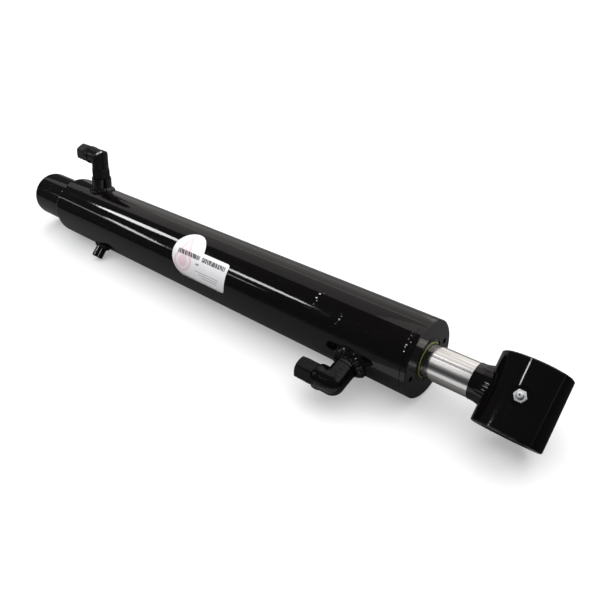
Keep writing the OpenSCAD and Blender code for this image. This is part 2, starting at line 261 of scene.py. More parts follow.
def make_studio(eye):
    warm = (1.0, 0.965, 0.93)
    along, back, up = Vector((1, 0, 0)), Vector((0, 1, 0)), Vector((0, 0, 1))
    # the wall and the ceiling panel behind the cylinder, brighter towards the rod end
    wall_y, wall_z, wall_height, panel_z = 3.0, 1.3, 3.0, 2.4
    far_end, split, near_end = -4.5, -0.55, 5.0
    ceiling_share = 0.85
    edge = (barrel_mirror(eye, BACK_X + 210 * MM, 20, panel_z).y
            + barrel_mirror(eye, BACK_X + 460 * MM, 14.5, panel_z).y) / 2
    for name, low, high, radiance in (("far", far_end, split, 0.46), ("near", split, near_end, 0.85)):
        middle, length = (low + high) / 2, high - low
        wall = axes_at(Vector((middle, wall_y, wall_z)), along, back)
        make_light("wall_" + name, wall, length, wall_height, radiance, warm)
        ceiling = axes_at(Vector((middle, (edge + wall_y) / 2, panel_z)), along, up)
        make_light("ceiling_" + name, ceiling, length, wall_y - edge, radiance * ceiling_share,
                   warm)
    # soft boxes over the camera's side, seen along the barrel
    lamp_over("lamp_a", eye, (BACK_X + 155 * MM, 31), (BACK_X + 300 * MM, 30.5), 0.3, 13)
    lamp_over("lamp_b", eye, (BACK_X + 150 * MM, 45), (BACK_X + 258 * MM, 49.5), 0.24, 8)
    lamp_over("lamp_c", eye, (BACK_X + 2 * MM, 45), (BACK_X + 215 * MM, 48), 0.07, 2.5, height=0.9)
    lamp_over("lamp_d", eye, (BACK_X + 375 * MM, 40), (BACK_X + 520 * MM, 41), 0.22, 12)
    lamp_over("lamp_e", eye, (BACK_X + 365 * MM, 47.5), (BACK_X + 450 * MM, 48), 0.12, 4)
    # lamps nearer the rod, seen in the chrome
    rod_start, rod_end = FRONT_X - 6 * MM, FRONT_X + 56 * MM
    for angle, width, radiance in ROD_LAMPS:
        lamp_over("rod_lamp_%g" % angle, eye, (rod_start, angle), (rod_end, angle), width, radiance,
                  ROD_R, oval=False)
    # a lamp seen on the eye tube, from its upper rim down to the grease fitting
    axis, rim, fitting = outward(EYE_ANGLE), 38 * MM, 6 * MM
    normal = axis.cross(along).normalized()
    normal = -normal if normal.y > 0 else normal
    first, last = (mirror_point(eye, EYE + axis * reach + normal * EYE_R, normal, NEAR_LAMP_DISTANCE)
                   for reach in (rim, fitting))
    tube_lamp("lamp_eye", first, last, EYE, 0.12, 14)
    # a small lamp seen down the side of the line stud
    stud = outward(STUD_ANGLE)
    stud_middle, half_height, aside = BARREL_R + 12 * MM, 6 * MM, math.radians(-6)
    stud_mid = Vector((STUD_X, 0, 0)) + stud * stud_middle
    facing = eye - stud_mid
    facing = (facing - stud * facing.dot(stud)).normalized()
    normal = Matrix.Rotation(aside, 3, stud) @ facing
    first, last = (mirror_point(eye, stud_mid + stud * reach + normal * STUD_R, normal,
                                NEAR_LAMP_DISTANCE) for reach in (half_height, -half_height))
    tube_lamp("lamp_stud", first, last, stud_mid, 0.35, 14)
    # soft light that no gloss shows: overhead, and from the front for the label
    above = Vector((0.4, 0.35, 1.9))
    make_light("soft_above", axes_at(above, along, above - EYE / 2), 5.0, 3.4, 2.0, glossy=False)
    front = Vector((0.8, -1.6, 1.6))
    make_light("soft_front", axes_at(front, along, front - EYE / 2), 2.4, 1.6, 1.0, glossy=False)


def make_world():
    """White to the camera, and a dim room to everything else."""
    world = bpy.data.worlds.new("studio")
    bpy.context.scene.world = world
    world.use_nodes = True
    tree = world.node_tree
    tree.nodes.clear()
    output = tree.nodes.new("ShaderNodeOutputWorld")
    mix = tree.nodes.new("ShaderNodeMixShader")
    path = tree.nodes.new("ShaderNodeLightPath")
    room = tree.nodes.new("ShaderNodeBackground")
    white = tree.nodes.new("ShaderNodeBackground")
    room.inputs["Color"].default_value = (0.9, 0.92, 1.0, 1)
    room.inputs["Strength"].default_value = 0.06
    white.inputs["Color"].default_value = (1, 1, 1, 1)
    white.inputs["Strength"].default_value = 1.0
    tree.links.new(path.outputs["Is Camera Ray"], mix.inputs[0])
    tree.links.new(room.outputs[0], mix.inputs[1])
    tree.links.new(white.outputs[0], mix.inputs[2])
    tree.links.new(mix.outputs[0], output.inputs["Surface"])


# ---------------------------------------------------------------- material kit

class Paint:
    """A material under construction: a Principled shader and the nodes that feed it."""

    def __init__(self, name, **fixed):
        self.material = bpy.data.materials.new(name)
        self.material.use_nodes = True
        self.tree = self.material.node_tree
        self.shader = self.tree.nodes["Principled BSDF"]
        self.coords = self.tree.nodes.new("ShaderNodeTexCoord").outputs["Object"]
        for socket, value in fixed.items():
            self.shader.inputs[socket.replace("_", " ")].default_value = value

    def feed(self, socket, value):
        """Sets a node's socket to a number, or links another node's output to it."""
        if isinstance(value, bpy.types.NodeSocket):
            self.tree.links.new(value, socket)
        else:
            socket.default_value = value

    def math(self, operation, first, second=0.0):
        node = self.tree.nodes.new("ShaderNodeMath")
        node.operation = operation
        for socket, value in zip(node.inputs, (first, second)):
            self.feed(socket, value)
        return node.outputs[0]

    def stretched(self, scale):
        node = self.tree.nodes.new("ShaderNodeMapping")
        self.feed(node.inputs["Vector"], self.coords)
        node.inputs["Scale"].default_value = scale
        return node.outputs[0]

    def distance_along(self, axis, origin):
        """How far the shaded point lies from an origin along an axis."""
        node = self.tree.nodes.new("ShaderNodeVectorMath")
        node.operation = "DOT_PRODUCT"
        self.feed(node.inputs[0], self.coords)
        node.inputs[1].default_value = axis
        return self.math("SUBTRACT", node.outputs["Value"], axis.dot(origin))

    def noise(self, size, detail=3.0, rough=0.5, coords=None):
        """Cloudy noise from 0 to 1 whose lumps are about size metres across."""
        node = self.tree.nodes.new("ShaderNodeTexNoise")
        self.feed(node.inputs["Vector"], coords or self.coords)
        node.inputs["Scale"].default_value = 1 / size
        node.inputs["Detail"].default_value = detail
        node.inputs["Roughness"].default_value = rough
        return node.outputs["Fac"]

    def cells(self, size, feature="F1"):
        """Distance to the nearest of scattered points about size metres apart."""
        node = self.tree.nodes.new("ShaderNodeTexVoronoi")
        node.feature = feature
        self.feed(node.inputs["Vector"], self.coords)
        node.inputs["Scale"].default_value = 1 / size
        return node.outputs["Distance"]

    def between(self, value, low, high, to_low=0.0, to_high=1.0):
        """Maps value from low..high to to_low..to_high, held at the ends."""
        node = self.tree.nodes.new("ShaderNodeMapRange")
        for socket, given in zip(node.inputs, (value, low, high, to_low, to_high)):
            self.feed(socket, given)
        return node.outputs[0]

    def blend(self, share, first, second):
        """A colour from first at share 0 to second at share 1."""
        node = self.tree.nodes.new("ShaderNodeMix")
        node.data_type = "RGBA"
        self.feed(node.inputs["Factor"], share)
        for socket, value in ((node.inputs["A"], first), (node.inputs["B"], second)):
            self.feed(socket, (*value, 1) if isinstance(value, tuple) else value)
        return node.outputs["Result"]

    def bump(self, height, depth, under=None):
        """Raises the surface by up to depth metres where height is 1."""
        node = self.tree.nodes.new("ShaderNodeBump")
        node.inputs["Distance"].default_value = depth
        self.feed(node.inputs["Height"], height)
        if under is not None:
            self.feed(node.inputs["Normal"], under)
        return node.outputs["Normal"]

    def finish(self, colour, roughness, normal):
        for name, value in (("Base Color", colour), ("Roughness", roughness), ("Normal", normal)):
            self.feed(self.shader.inputs[name], value)
        return self.material


def floor_material(name, reflected):
    """A white sweep that reflections show as darker than the camera sees it.

    To the camera it also glows, and more so farther out, where the lamps don't reach.
    """
    material = bpy.data.materials.new(name)
    material.use_nodes = True
    tree = material.node_tree
    tree.nodes.clear()
    output = tree.nodes.new("ShaderNodeOutputMaterial")
    mix = tree.nodes.new("ShaderNodeMixShader")
    path = tree.nodes.new("ShaderNodeLightPath")
    bright = tree.nodes.new("ShaderNodeBsdfDiffuse")
    dim = tree.nodes.new("ShaderNodeBsdfDiffuse")
    glow = tree.nodes.new("ShaderNodeEmission")
    lit = tree.nodes.new("ShaderNodeAddShader")
    bright.inputs["Color"].default_value = (0.62, 0.62, 0.625, 1)
    glow.inputs["Color"].default_value = (1, 1, 1, 1)
    place = tree.nodes.new("ShaderNodeTexCoord")
    reach = tree.nodes.new("ShaderNodeVectorMath")
    fade = tree.nodes.new("ShaderNodeMapRange")
    reach.operation = "LENGTH"
    for socket, value in (("From Min", 1.0), ("From Max", 2.5), ("To Min", 0.3), ("To Max", 1.0)):
        fade.inputs[socket].default_value = value
    tree.links.new(place.outputs["Object"], reach.inputs[0])
    tree.links.new(reach.outputs["Value"], fade.inputs[0])
    tree.links.new(fade.outputs[0], glow.inputs["Strength"])
    dim.inputs["Color"].default_value = (reflected, reflected, reflected, 1)
    tree.links.new(path.outputs["Is Camera Ray"], mix.inputs[0])
    tree.links.new(dim.outputs[0], mix.inputs[1])
    tree.links.new(bright.outputs[0], lit.inputs[0])
    tree.links.new(glow.outputs[0], lit.inputs[1])
    tree.links.new(lit.outputs[0], mix.inputs[2])
    tree.links.new(mix.outputs[0], output.inputs["Surface"])
    return material


def gloss_black(name="gloss_black", rough=(0.035, 0.09), peel=0.012 * MM):
    """Sprayed gloss enamel: a faint orange peel, slow waves, dust and thin scuffs."""
    paint = Paint(name, IOR=1.5)
    cloud = paint.noise(40 * MM, 4)
    dust = paint.between(paint.noise(1.1 * MM, 2), 0.7, 0.8)
    streak = paint.between(paint.noise(5 * MM, 5, 0.7, paint.stretched((0.12, 1, 1))), 0.62, 0.7)
    grain = paint.between(paint.cells(2.6 * MM, feature="SMOOTH_F1"), 0, 1)
    waves = paint.noise(14 * MM, 1)
    colour = paint.blend(cloud, (0.0020, 0.0016, 0.0017), (0.0030, 0.0024, 0.0024))
    colour = paint.blend(paint.math("MULTIPLY", dust, 0.35), colour, (0.03, 0.028, 0.026))
    roughness = paint.between(cloud, 0.3, 0.7, *rough)
    roughness = paint.math("ADD", roughness, paint.math("MULTIPLY", streak, 0.12))
    normal = paint.bump(waves, 0.06 * MM)
    normal = paint.bump(grain, peel, normal)
    return paint.finish(colour, roughness, normal)


def fitting_black(name, rough, shade=(0.0022, 0.0036), streak=None):
    """Enamel over forged steel: grainy, with thin wear; the optional last argument masks a painted
    highlight in bright steel colour.
    """
    paint = Paint(name, IOR=1.45)
    cloud = paint.noise(6 * MM, 4)
    grit = paint.noise(0.7 * MM, 3, 0.6)
    wear = paint.between(paint.noise(3.5 * MM, 6, 0.75), 0.66, 0.72)
    dark, light = [(tint, tint, tint * 1.05) for tint in shade]
    colour = paint.blend(cloud, dark, light)
    colour = paint.blend(paint.math("MULTIPLY", wear, 0.3), colour, (0.05, 0.048, 0.045))
    # painted highlight: bright steel colour where the optional mask is 1
    if streak:
        colour = paint.blend(streak(paint), colour, (0.8, 0.78, 0.76))
    roughness = paint.between(cloud, 0.3, 0.7, *rough)
    normal = paint.bump(cloud, 0.25 * MM)
    normal = paint.bump(grit, 0.04 * MM, normal)
    return paint.finish(colour, roughness, normal)


def mitre_painted_highlight(x, angle, axis_height, middle, reach, across):
    """A painted highlight, a bright streak on one side, where an elbow's arm meets its leg.

    It lies middle up the mitre line from the elbow's centre, and reaches along and across it.
    """
    port = port_place(x, angle)
    centre = port @ Vector((0, 0, axis_height))
    along, outer = port.col[0].to_3d(), port.col[2].to_3d()

    def streak(paint):
        x_part, z_part = (paint.distance_along(axis, centre) for axis in (along, outer))
        up = paint.math("MULTIPLY", paint.math("ADD", x_part, z_part), 0.5)
        side = paint.math("MULTIPLY", paint.math("SUBTRACT", x_part, z_part), 0.5)
        front = paint.distance_along(port.col[1].to_3d(), centre)
        soft = 0.5 * MM
        masks = [paint.between(paint.math("ABSOLUTE", paint.math("SUBTRACT", up, middle)),
                               reach - soft, reach + soft, 1, 0),
                 paint.between(paint.math("ABSOLUTE", side), across - soft, across + soft, 1, 0),
                 paint.between(front, -3 * MM, -2 * MM, 1, 0)]
        ragged = paint.between(paint.noise(1.6 * MM, 3), 0.35, 0.5)
        return paint.math("MULTIPLY", paint.math("MULTIPLY", masks[0], masks[1]),
                          paint.math("MULTIPLY", masks[2], ragged))

    return streak


def painted_glint_spatter():
    """Weld spatter coloured dull bright steel as painted glints, some of it darker."""
    paint = Paint("painted_glint_spatter", Metallic=0.2)
    patches = paint.between(paint.noise(9 * MM, 2), 0.4, 0.6)
    grain = paint.noise(0.5 * MM, 2)
    colour = paint.blend(patches, (0.06, 0.058, 0.055), (0.7, 0.69, 0.68))
    roughness = paint.between(grain, 0.3, 0.7, 0.3, 0.5)
    return paint.finish(colour, roughness, paint.bump(grain, 0.03 * MM))


def hard_chrome():
    """Ground and polished chrome: fine rings round the rod and long faint wipe marks."""
    paint = Paint("hard_chrome", Metallic=1.0)
    rings = paint.noise(0.35 * MM, 3, 0.6, paint.stretched((1, 0.02, 0.02)))
    wipes = paint.noise(2.5 * MM, 4, 0.6, paint.stretched((0.03, 1, 1)))
    cloud = paint.noise(18 * MM, 3)
    colour = paint.blend(cloud, (0.84, 0.82, 0.8), (0.93, 0.91, 0.89))
    roughness = paint.between(wipes, 0.3, 0.75, 0.1, 0.2)
    normal = paint.bump(rings, 0.0015 * MM)
    normal = paint.bump(wipes, 0.012 * MM, normal)
    return paint.finish(colour, roughness, normal)


def machined_steel(name, dark, light, ring_size=0.6 * MM):
    """Turned or bored metal: fine tool marks, with oily darker patches."""
    paint = Paint(name, Metallic=1.0)
    marks = paint.noise(ring_size, 3, 0.6, paint.stretched((1, 0.03, 0.03)))
    cloud = paint.noise(9 * MM, 5, 0.6)
    colour = paint.blend(cloud, dark, light)
    roughness = paint.between(marks, 0.3, 0.7, 0.2, 0.42)
    normal = paint.bump(marks, 0.01 * MM)
    return paint.finish(colour, roughness, normal)


def zinc_plate():
    """Bright zinc: a bluish white metal with a slight grain, with painted shade at its neck and its
    seat.
    """
    paint = Paint("zinc_plate", Metallic=0.45)
    cloud = paint.noise(1.5 * MM, 4)
    grain = paint.cells(0.5 * MM)
    colour = paint.blend(cloud, (0.62, 0.63, 0.65), (0.78, 0.79, 0.82))
    place = zerk_place()
    height = paint.distance_along(place.col[2].to_3d(), place.translation)
    # painted shade: a darker colour round the neck under the ball head and at the hexagon's seat
    neck_middle = 7.9 * MM
    neck = paint.between(paint.math("ABSOLUTE", paint.math("SUBTRACT", height, neck_middle)),
                         1.9 * MM, 2.3 * MM, 1, 0)
    seat = paint.between(height, 0.4 * MM, 0.9 * MM, 1, 0)
    painted_shade = paint.math("MULTIPLY", paint.math("MAXIMUM", neck, seat), 0.9)
    colour = paint.blend(painted_shade, colour, (0.03, 0.028, 0.026))
    roughness = paint.between(cloud, 0.3, 0.7, 0.2, 0.34)
    normal = paint.bump(grain, 0.004 * MM)
    return paint.finish(colour, roughness, normal)


def moulded(name, dark, light, rough=(0.35, 0.55)):
    """Moulded rubber, urethane or resin: mottled, with a fine skin."""
    paint = Paint(name)
    cloud = paint.noise(4 * MM, 4)
    skin = paint.noise(0.4 * MM, 2)
    colour = paint.blend(cloud, dark, light)
    roughness = paint.between(cloud, 0.3, 0.7, *rough)
    return paint.finish(colour, roughness, paint.bump(skin, 0.02 * MM))


def wiper_lip():
    """Yellow-green urethane whose lip stays clear of the paint on the gland's face."""
    paint = Paint("wiper_urethane")
    split = paint.tree.nodes.new("ShaderNodeSeparateXYZ")
    paint.feed(split.inputs[0], paint.coords)
    x, y, z = split.outputs
    squares = paint.math("ADD", paint.math("MULTIPLY", y, y), paint.math("MULTIPLY", z, z))
    ragged = paint.math("MULTIPLY", paint.noise(2 * MM, 3), 0.3 * MM)
    radius = paint.math("ADD", paint.math("SQRT", squares), ragged)
    painted = paint.between(radius, ROD_R + 1.25 * MM, ROD_R + 1.4 * MM)
    cloud = paint.noise(4 * MM, 4)
    lip = paint.blend(cloud, (0.26, 0.27, 0.05), (0.36, 0.37, 0.08))
    colour = paint.blend(painted, lip, (0.004, 0.0036, 0.0036))
    roughness = paint.between(painted, 0, 1, 0.35, 0.08)
    return paint.finish(colour, roughness, paint.bump(paint.noise(0.5 * MM, 2), 0.012 * MM))


def box_mask(paint, across, up, centre, half):
    """1 inside a rectangle of the label, drawn in metres, and 0 outside it."""
    soft = 0.12 * MM
    sides = []
    for value, middle, reach in ((across, centre[0], half[0]), (up, centre[1], half[1])):
        away = paint.math("ABSOLUTE", paint.math("SUBTRACT", value, middle))
        sides.append(paint.between(away, reach - soft, reach + soft, 1, 0))
    return paint.math("MULTIPLY", *sides)


def drop_mask(paint, across, up, centre, radius):
    """1 inside a falling drop of the label: a round belly that narrows to a point above."""
    soft = 0.3 * MM
    x = paint.math("SUBTRACT", across, centre[0])
    y = paint.math("SUBTRACT", up, centre[1])
    rise = paint.between(y, 0, 2.1 * radius)
    narrow = paint.math("SUBTRACT", 1.0, paint.math("POWER", rise, 0.8))
    y_low = paint.math("MINIMUM", y, 0.0)
    width = paint.math("MULTIPLY", narrow, radius)
    belly = paint.math("SQRT", paint.math("ADD", paint.math("MULTIPLY", x, x),
                                          paint.math("MULTIPLY", y_low, y_low)))
    return paint.between(paint.math("SUBTRACT", belly, width), -soft, soft, 1, 0)


def label_vinyl():
    """White vinyl printed with a pale drop and plain bars in place of any words."""
    paint = Paint("label_vinyl", IOR=1.5)
    split = paint.tree.nodes.new("ShaderNodeSeparateXYZ")
    paint.feed(split.inputs[0], paint.coords)
    x, y, z = split.outputs
    turn = paint.math("ARCTAN2", paint.math("MULTIPLY", y, -1.0), z)
    across = paint.math("SUBTRACT", x, LABEL_X)
    lift = paint.math("SUBTRACT", math.radians(LABEL_ANGLE), turn)
    up = paint.math("MULTIPLY", lift, BARREL_R)
    cloud = paint.noise(12 * MM, 3)
    colour = paint.blend(cloud, (0.75, 0.745, 0.76), (0.82, 0.815, 0.83))
    pink = (0.7, 0.38, 0.47)
    for low, radius, strength, tint in ((-8, 17, 0.55, pink), (-9, 13.5, 0.85, (0.8, 0.76, 0.78)),
                                        (-10, 8.5, 0.4, pink)):
        drop = drop_mask(paint, across, up, (-5 * MM, low * MM), radius * MM)
        colour = paint.blend(paint.math("MULTIPLY", drop, strength), colour, tint)
    ink = (0.02, 0.018, 0.022)
    tall, fine = 3.0 * MM, 0.5 * MM
    # blocks of uneven width, in two runs that stand where the words would be
    waver = paint.math("MULTIPLY", paint.noise(9 * MM, 1), 3.0)
    step = paint.math("FRACT", paint.math("ADD", paint.math("DIVIDE", across, 4.6 * MM), waver))
    blocks = paint.between(step, 0.68, 0.76, 1, 0.25)
    for centre, half in (((3 * MM, 0), (21 * MM, tall)), ((50 * MM, 0), (21.5 * MM, tall))):
        mask = paint.math("MULTIPLY", box_mask(paint, across, up, centre, half), blocks)
        colour = paint.blend(paint.math("MULTIPLY", mask, 0.92), colour, ink)
    marks = [((23 * MM, -8.5 * MM), (3 * MM, 1.2 * MM), 0.7)]
    marks += [((43 * MM + 3 * MM * i, -17 * MM - 3 * MM * i), (22 * MM - 4 * MM * i, fine), 0.5)
              for i in range(3)]
    for centre, half, strength in marks:
        mask = box_mask(paint, across, up, centre, half)
        colour = paint.blend(paint.math("MULTIPLY", mask, strength), colour, ink)
    roughness = paint.between(cloud, 0.3, 0.7, 0.28, 0.4)
    normal = paint.bump(paint.noise(6 * MM, 2), 0.03 * MM)
    return paint.finish(colour, roughness, normal)


# ---------------------------------------------------------------- mesh kit

def add_piece(name, vertices, faces, material, body, stands_for=(), smooth_angle=40):
    """A finished piece: smooth shaded up to an angle, riding on a body, in a material slot."""
    mesh = bpy.data.meshes.new(name)
    mesh.from_pydata([tuple(v) for v in vertices], [], faces)
    mesh.materials.append(material)
    mesh.update()
    mesh.validate()
    piece = bpy.data.objects.new(name, mesh)
    bpy.context.scene.collection.objects.link(piece)
    smooth_by_angle(piece, smooth_angle)
    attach(piece, body)
    if stands_for:
        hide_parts(*stands_for)
    return piece


def smooth_by_angle(piece, degrees):
    """Smooth shading that breaks at edges sharper than an angle."""
    mesh = piece.data
    mesh.shade_smooth()
    mesh.set_sharp_from_angle(angle=math.radians(degrees))


def closed_sweep(rings):
    """Vertices and faces of a closed tube through rings of equally many points."""
    count = len(rings[0])
    vertices = [point for ring in rings for point in ring]
    faces = []
    for i in range(len(rings)):
        a, b = i * count, ((i + 1) % len(rings)) * count
        for j in range(count):
            k = (j + 1) % count
            faces.append((a + j, a + k, b + k, b + j))
    return vertices, faces


def dense(profile, step):
    """The same line of points with more points along each straight stretch."""
    points = [profile[0]]
    for (r0, z0), (r1, z1) in zip(profile, profile[1:]):
        parts = max(1, math.ceil(math.hypot(r1 - r0, z1 - z0) / step))
        points += [(r0 + (r1 - r0) * i / parts, z0 + (z1 - z0) * i / parts)
                   for i in range(1, parts + 1)]
    return points


def hexagon_reach(turn, across_flats):
    """How far a slightly rounded hexagon reaches from its middle in a direction."""
    sharpness = 60
    spread = sum(abs(math.cos(turn - math.radians(30 + 60 * k))) ** sharpness for k in range(3))
    return across_flats / 2 / spread ** (1 / sharpness)


def turned(place, profile, across_flats=None, segments=96, step=None):
    """A closed ring turned about a place's +Z from (radius, height) points.

    With across_flats its outside is cut to a hexagon with corners at 0, 60, 120 degrees.
    """
    if step:
        profile = dense(profile + profile[:1], step)[:-1]
    rings = []
    for i in range(segments):
        turn = TAU * i / segments
        limit = hexagon_reach(turn, across_flats) if across_flats else math.inf
        ring = []
        for radius, height in profile:
            r = min(radius, limit)
            ring.append(place @ Vector((r * math.cos(turn), r * math.sin(turn), height)))
        rings.append(ring)
    return closed_sweep(rings)


def ripple(turn, count, phase=0.0):
    """Stacked-coin ripple of a weld, from 0 to 1, with its coins slightly uneven."""
    wobble = 0.35 * math.sin(3 * turn + phase) + 0.2 * math.sin(7 * turn + 2 * phase)
    along = (count * turn / TAU + wobble + phase) % 1.0
    return math.sqrt(max(0.0, 1 - (2 * along - 1) ** 2))


def bead_profile(start, end, corner, ripple_share, swell, lumps=1.0):
    """Points of a weld bead's skin from start to end, then back inside past the corner.

    The skin bulges away from the corner by swell, and more where ripple_share is 1.
    """
    steps = 12
    chord = end - start
    middle = (start + end) / 2
    away = middle - corner
    away -= chord * (away.dot(chord) / chord.length_squared)
    away.normalize()
    skin = []
    for i in range(steps + 1):
        t = i / steps
        arch = math.sin(math.pi * t) ** 0.7
        point = start + chord * t
        lump = noise.noise(point / (1.7 * MM)) + 0.5 * noise.noise(point / (0.8 * MM))
        point += away * arch * (swell * (0.45 + 0.55 * ripple_share) + 0.38 * MM * lumps * lump)
        skin.append(point)
    return skin + [corner - away * 0.4 * chord.length]


# ---------------------------------------------------------------- welds

def post_weld(name, node, x, angle, post_r, leg, coins, material, seed, lumps=1.0):
    """A rippled fillet around a round post on the barrel, which follows the saddle."""
    place = port_place(x, angle)
    draw = random.Random(seed)
    phases = [draw.uniform(0, TAU) for _ in range(3)]
    segments = coins * 10
    rings = []

    def on_barrel(radius, turn):
        across = radius * math.sin(turn)
        return Vector((radius * math.cos(turn), across, math.sqrt(BARREL_R ** 2 - across ** 2)))

    for i in range(segments):
        turn = TAU * i / segments
        share = ripple(turn, coins, phases[0])
        uneven = 1 + 0.1 * math.sin(2 * turn + phases[1]) + 0.07 * math.sin(5 * turn + phases[2])
        reach = leg * uneven * (0.88 + 0.12 * share)
        corner = on_barrel(post_r, turn)
        top = corner + Vector((0, 0, reach * 0.95))
        foot = on_barrel(post_r + reach, turn)
        ring = bead_profile(top, foot, corner, share, 0.28 * leg, lumps)
        rings.append([place @ point for point in ring])
    vertices, faces = closed_sweep(rings)
    return add_piece(name, vertices, faces, material, "barrel", [node], 60)


def base_weld(material):
    """The weld of the base stub: a wide pass on the stub and a narrow one round the rim."""
    stub_leg, face_leg, segments = 11.5 * MM, 5.6 * MM, 360
    coins, rim_coins, lumps = 30, 39, 1.3
    rings = []
    for i in range(segments):
        turn = TAU * i / segments
        share = ripple(turn, coins, 0.4)
        rim_share = ripple(turn, rim_coins, 2.1)
        uneven = (1 + 0.08 * math.sin(3 * turn + 1.1)) * (0.88 + 0.12 * share)
        out = Vector((0, math.cos(turn), math.sin(turn)))
        corner = Vector((BACK_X, 0, 0)) + out * STUB_R
        start = corner - Vector((stub_leg * uneven, 0, 0))
        middle = corner + out * face_leg - Vector((1 * MM, 0, 0))
        rim_reach = (3.4 + 1.1 * rim_share + 0.6 * math.sin(5 * turn)) * MM
        rim = Vector((BACK_X + rim_reach, 0, 0)) + out * (BARREL_R - 0.05 * MM)
        rim_corner = corner + out * face_leg + Vector((2 * MM, 0, 0))
        first_pass = bead_profile(start, middle, corner, share, 2.6 * MM, lumps)
        rim_pass = bead_profile(middle, rim, rim_corner, rim_share, 0.7 * MM, lumps)
        rings.append(first_pass[:-1] + rim_pass[1:-1] + [rim_corner, first_pass[-1]])
    vertices, faces = closed_sweep(rings)
    return add_piece("base_weld_bead", vertices, faces, material, "barrel",
                     ["base_stub_weld"], 60)


def rod_weld(material):
    """The weld between the rod and the eye tube: a painted neck that flares to the tube."""
    eye_axis = outward(EYE_ANGLE)
    side = eye_axis.cross(Vector((1, 0, 0)))
    start_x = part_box("rod_eye_weld")[0].x
    flare, coins, segments, rows = 3.0 * MM, 18, 216, 12
    neck, inside, ripple_start = 0.55 * MM, 0.6 * MM, 0.35
    rings = []
    for i in range(segments):
        turn = TAU * i / segments
        out = eye_axis * math.cos(turn) + side * math.sin(turn)
        share = ripple(turn, coins, 0.2)
        foot_r = ROD_R + flare * (1 + 0.12 * math.sin(3 * turn)) * (0.85 + 0.15 * share)
        across = foot_r * math.sin(turn)
        foot_x = EYE.x - math.sqrt(EYE_R ** 2 - across ** 2) + 0.3 * MM
        ring = [Vector((start_x, 0, 0)) + out * (ROD_R - inside)]
        for j in range(rows + 1):
            t = j / rows
            radius = ROD_R + neck + (foot_r - ROD_R - neck) * t ** 3
            if ripple_start < t < 1:
                swell = math.sin(math.pi * (t - ripple_start) / (1 - ripple_start))
                radius += 0.45 * MM * (share - 0.5) * swell
            x = start_x + (foot_x - start_x) * t
            ring.append(Vector((x, 0, 0)) + out * radius)
        ring.append(Vector((foot_x + 0.5 * MM, 0, 0)) + out * (ROD_R - inside))
        rings.append(ring)
    vertices, faces = closed_sweep(rings)
    return add_piece("rod_weld_bead", vertices, faces, material, "rod",
                     ["rod_eye_weld"], 60)


def spatter(name, spots, smallest, largest, material, seed):
    """Round beads of weld metal at (x, angle, lift off the barrel) places."""
    draw = random.Random(seed)
    vertices, faces = [], []
    rows, around = 4, 12
    for x, angle, lift in spots:
        size = draw.uniform(smallest, largest)
        squash = draw.uniform(0.55, 0.9)
        seat = Vector((x, 0, 0)) + outward(angle) * (BARREL_R + lift - 0.1 * MM)
        place = axes_at(seat, Vector((1, 0, 0)), outward(angle))
        place = place @ Matrix.Rotation(draw.uniform(0, TAU), 4, "Z")
        start = len(vertices)
        for j in range(rows):
            rise = math.pi / 2 * j / rows
            for k in range(around):
                turn = TAU * k / around
                reach = size * math.cos(rise) * (1 + 0.2 * math.cos(2 * turn))
                vertices.append(place @ Vector((reach * math.cos(turn), reach * math.sin(turn),
                                                size * squash * math.sin(rise))))
        vertices.append(place @ Vector((0, 0, size * squash)))
        vertices.append(place @ Vector((0, 0, -0.4 * MM)))
        top, under = start + rows * around, start + rows * around + 1
        last = start + (rows - 1) * around
        for k in range(around):
            m = (k + 1) % around
            for row in range(start, last, around):
                faces.append((row + k, row + m, row + m + around, row + k + around))
            faces.append((last + k, last + m, top))
            faces.append((start + m, start + k, under))
    return add_piece(name, vertices, faces, material, "barrel", (), 80)


def painted_spots():
    """Places of the spatter under the paint: round both ports and near the gland."""
    draw = random.Random(11)
    spots = [(ROD_PORT_X + draw.gauss(0, 12) * MM, 76 + draw.gauss(0, 7), 0) for _ in range(16)]
    spots += [(BASE_PORT_X + draw.gauss(0, 16) * MM, BASE_PORT_ANGLE + 30 + draw.gauss(0, 6), 0)
              for _ in range(6)]
    return spots


def painted_glint_spots():
    """Places of the spatter coloured as painted glints: three rows across the barrel, and at each
    weld.
    """
    draw = random.Random(23)
    spots = []
    for x, low, high, count in ((532, 15, 38, 5), (568, 34, 51, 5), (652, 18, 46, 7)):
        for i in range(count):
            angle = low + (high - low) * (i + draw.uniform(-0.3, 0.3)) / (count - 1)
            spots.append((BACK_X + (x + draw.gauss(0, 1.5)) * MM, angle, 0))
    spots += [(ROD_PORT_X + along * MM, ROD_PORT_ANGLE - turn, 4 * MM)
              for along, turn in ((-3.5, 26), (9.5, 25), (12.5, 20), (4, 15), (3, 19.5))]
    spots += [(BASE_PORT_X + 17 * MM, BASE_PORT_ANGLE + 7, 1.5 * MM)]
    spots += [(BACK_X + 3.5 * MM, angle, 0.2 * MM) for angle in (-2, 21, 33, 47)]
    return spots


# ---------------------------------------------------------------- fittings

def forging(name, node, material, body="barrel"):
    """A forged fitting: the CAD shape remeshed and smoothed, so that its edges are soft."""
    mesh = nodes[node].data.copy()
    mesh.materials.clear()
    mesh.materials.append(material)
    piece = bpy.data.objects.new(name, mesh)
    bpy.context.scene.collection.objects.link(piece)
    remesh = piece.modifiers.new("remesh", "REMESH")
    remesh.mode = "VOXEL"
    remesh.voxel_size = 0.5 * MM
    remesh.use_smooth_shade = True
    smooth = piece.modifiers.new("smooth", "SMOOTH")
    smooth.factor = 0.6
    smooth.iterations = 7
    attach(piece, body)
    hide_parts(node)
    return piece


def nut_profile(across_flats, height, bore_r):
    """A hexagon nut's section, with its corners turned off at 30 degrees at both ends."""
    corner_r = across_flats / math.sqrt(3)
    bevel = (corner_r - across_flats / 2) * 1.25
    return [(bore_r, 0), (corner_r - bevel, 0), (corner_r, bevel * 0.58),
            (corner_r, height - bevel * 0.58), (corner_r - bevel, height), (bore_r, height)]


